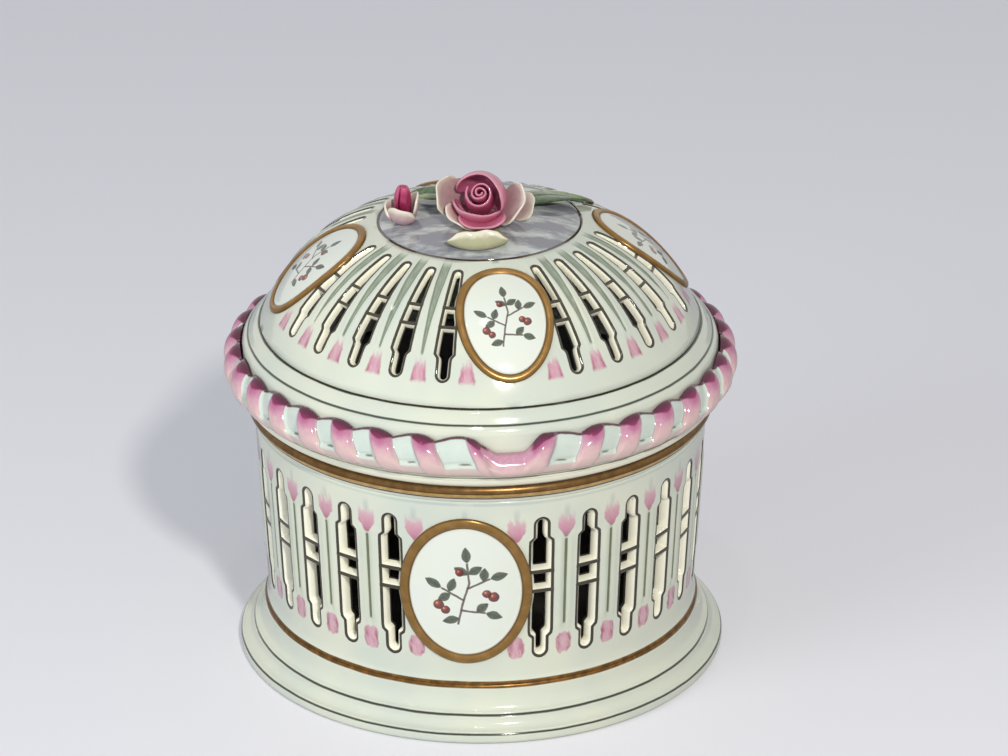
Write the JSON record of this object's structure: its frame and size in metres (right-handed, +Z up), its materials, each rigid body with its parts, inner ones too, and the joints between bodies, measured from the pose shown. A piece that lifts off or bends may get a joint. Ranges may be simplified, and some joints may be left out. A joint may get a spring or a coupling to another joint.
{
  "type": "cookie jar",
  "caption": "Small round pierced porcelain jar with a stepped foot and a domed lift-off lid, a twisted ribbon border and a rose knob.",
  "frame": {"origin": "on the surface the jar stands on, under the jar's axis", "axes": "+Z up along the jar's axis; -Y towards the front medallion"},
  "size_m": [0.1506, 0.1506, 0.1522],
  "materials": {
    "porcelain": "gloss",
    "ribbon": "gloss",
    "rose_heart": "gloss",
    "rose_pink": "gloss",
    "petal_blush": "gloss",
    "bud_magenta": "gloss",
    "leaf_green": "gloss"
  },
  "bodies": {
    "jar": {"jar_foot": "porcelain", "jar_wall": "porcelain"},
    "lid": {"lid_dome": "porcelain", "rope_border_left": "ribbon", "rope_border_right": "ribbon", "rose_base": "petal_blush", "rose_center": "rose_heart", "rose_inner_petal_1": "rose_pink", "rose_inner_petal_2": "rose_pink", "rose_inner_petal_3": "rose_pink", "rose_outer_petal_1": "petal_blush", "rose_outer_petal_2": "petal_blush", "rose_outer_petal_3": "petal_blush", "rose_outer_petal_4": "petal_blush", "rose_outer_petal_5": "petal_blush", "bud_core": "bud_magenta", "bud_petal_1": "petal_blush", "bud_petal_2": "petal_blush", "bud_petal_3": "petal_blush", "long_leaf": "leaf_green", "short_leaf": "leaf_green"}
  },
  "joints": [
    {"name": "lid_lift", "type": "slide", "parent": "jar", "child": "lid", "axis": [0, 0, 1], "range_m": [0, 0.12]}
  ]
}
